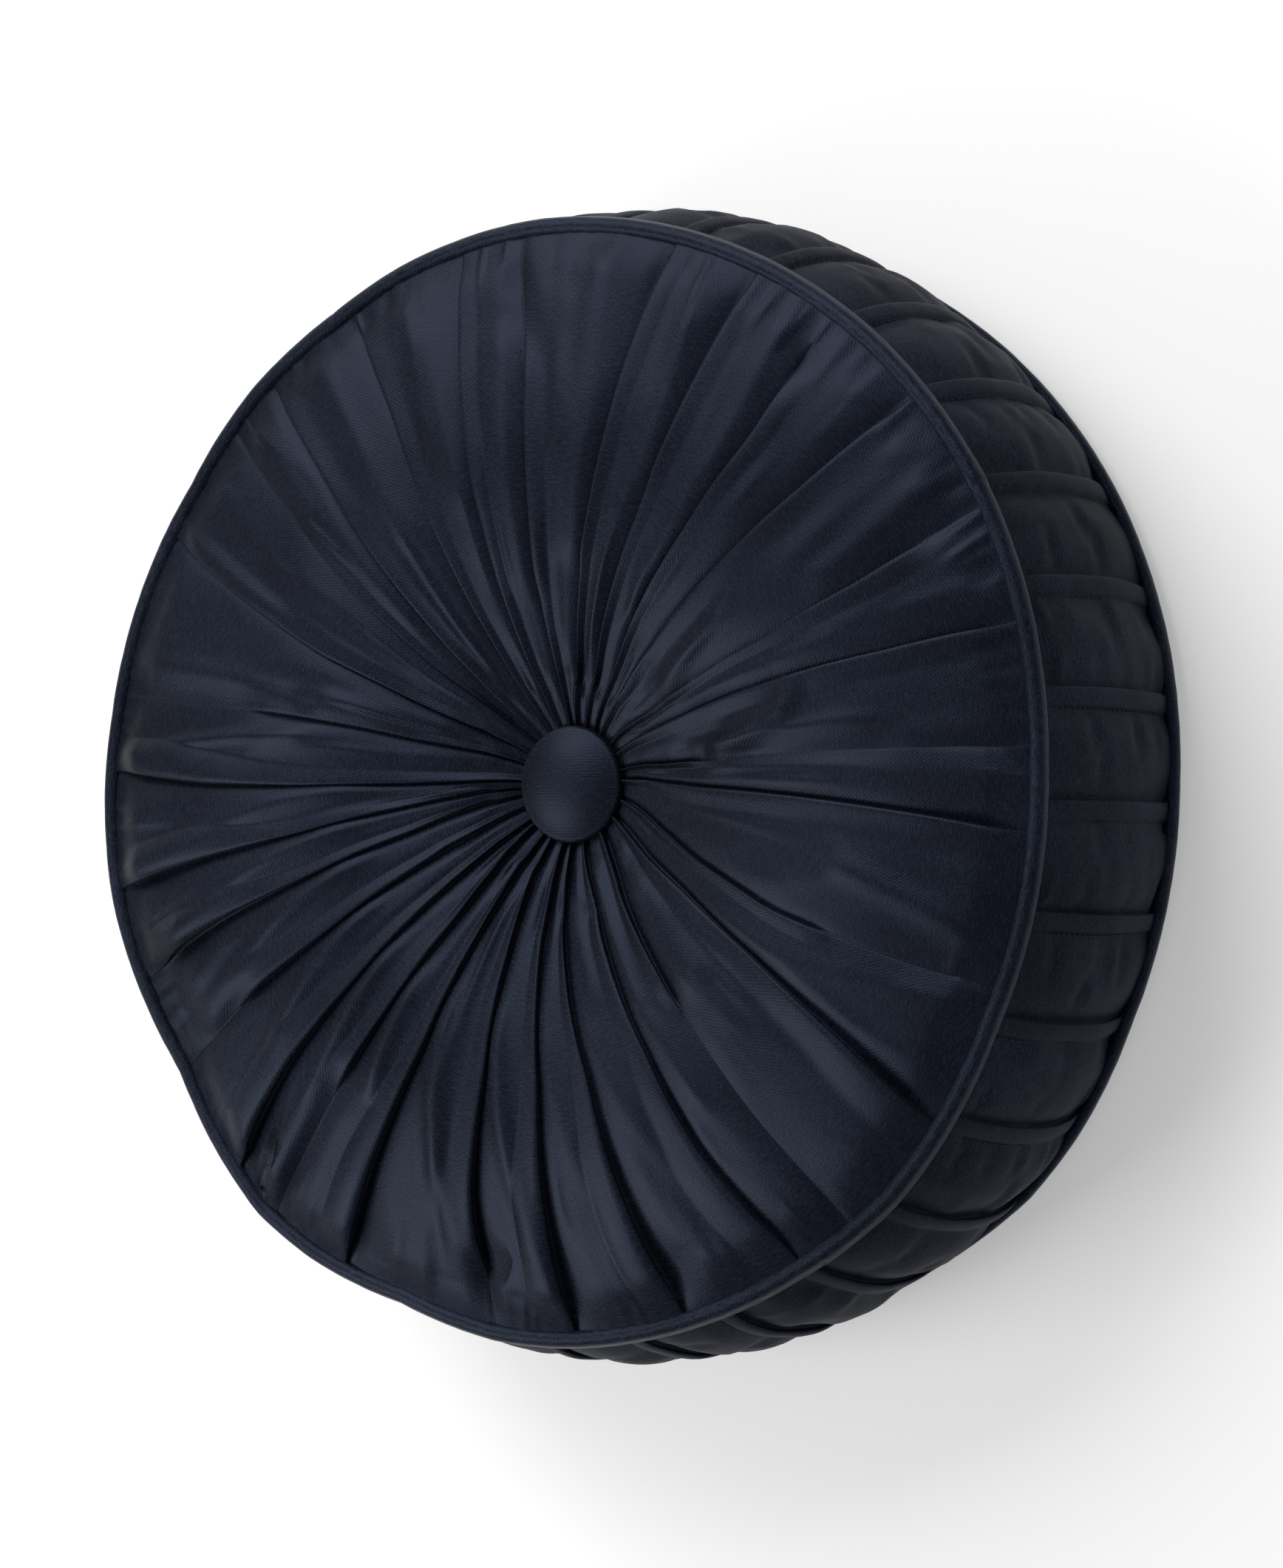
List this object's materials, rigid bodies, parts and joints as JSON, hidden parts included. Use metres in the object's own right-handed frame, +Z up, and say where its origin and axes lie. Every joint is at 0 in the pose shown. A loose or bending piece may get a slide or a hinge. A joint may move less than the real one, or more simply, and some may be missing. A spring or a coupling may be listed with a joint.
{
  "type": "round tufted seat cushion",
  "caption": "Round tufted box cushion with radially pleated faces, a tucked side band, piped edges and a covered button drawn into the middle of each face.",
  "frame": {"origin": "middle of the flat ring under the cushion, on the surface that it rests on", "axes": "+Z up along the cushion's axis, out of the seat face; +X and +Y across it, with the piping's join at about 30 degrees from +X"},
  "size_m": [0.3812, 0.3812, 0.111],
  "materials": {
    "face_satin": "satin",
    "band_satin": "satin",
    "piping_satin": "satin",
    "button_satin": "satin",
    "navy_thread": "satin",
    "cotton_cord": "matte",
    "liner_cloth": "matte",
    "polyester_fibre": "matte",
    "waxed_twine": "satin",
    "button_steel": "satin"
  },
  "bodies": {
    "base": {"bottom_face_panel": "face_satin", "bottom_piping_cover": "piping_satin", "bottom_piping_cord": "cotton_cord", "bottom_seam_thread": "navy_thread", "bottom_gathering_thread": "navy_thread", "liner_bottom": "liner_cloth", "boxing_band": "band_satin", "tuck_stitches": "navy_thread", "closing_stitches": "navy_thread", "liner_band": "liner_cloth", "fibre_fill": "polyester_fibre", "tufting_twine": "waxed_twine", "twine_knot": "waxed_twine"},
    "seat_face": {"top_face_panel": "face_satin", "top_piping_cover": "piping_satin", "top_piping_cord": "cotton_cord", "top_seam_thread": "navy_thread", "top_gathering_thread": "navy_thread", "liner_top": "liner_cloth"},
    "top_button": {"top_button_cover": "button_satin", "top_button_shell": "button_steel", "top_button_back": "button_steel", "top_button_eye": "button_steel", "top_twine_loop": "waxed_twine"},
    "bottom_button": {"bottom_button_cover": "button_satin", "bottom_button_shell": "button_steel", "bottom_button_back": "button_steel", "bottom_button_eye": "button_steel", "bottom_twine_loop": "waxed_twine"}
  },
  "joints": [
    {"name": "seat_press", "type": "slide", "parent": "base", "child": "seat_face", "axis": [0, 0, 1], "range_m": [-0.04, 0], "stiffness_N_per_m": 6600, "deforming": ["boxing_band", "tuck_stitches", "liner_band", "fibre_fill", "tufting_twine"]},
    {"name": "top_button_turn", "type": "hinge", "parent": "seat_face", "child": "top_button", "pos_m": [0, 0, 0.0888], "axis": [0, 0, 1], "range_deg": [-45, 45], "stiffness_Nm_per_rad": 0.01},
    {"name": "bottom_button_turn", "type": "hinge", "parent": "base", "child": "bottom_button", "pos_m": [0, 0, 0.0192], "axis": [0, 0, 1], "range_deg": [-45, 45], "stiffness_Nm_per_rad": 0.01}
  ]
}
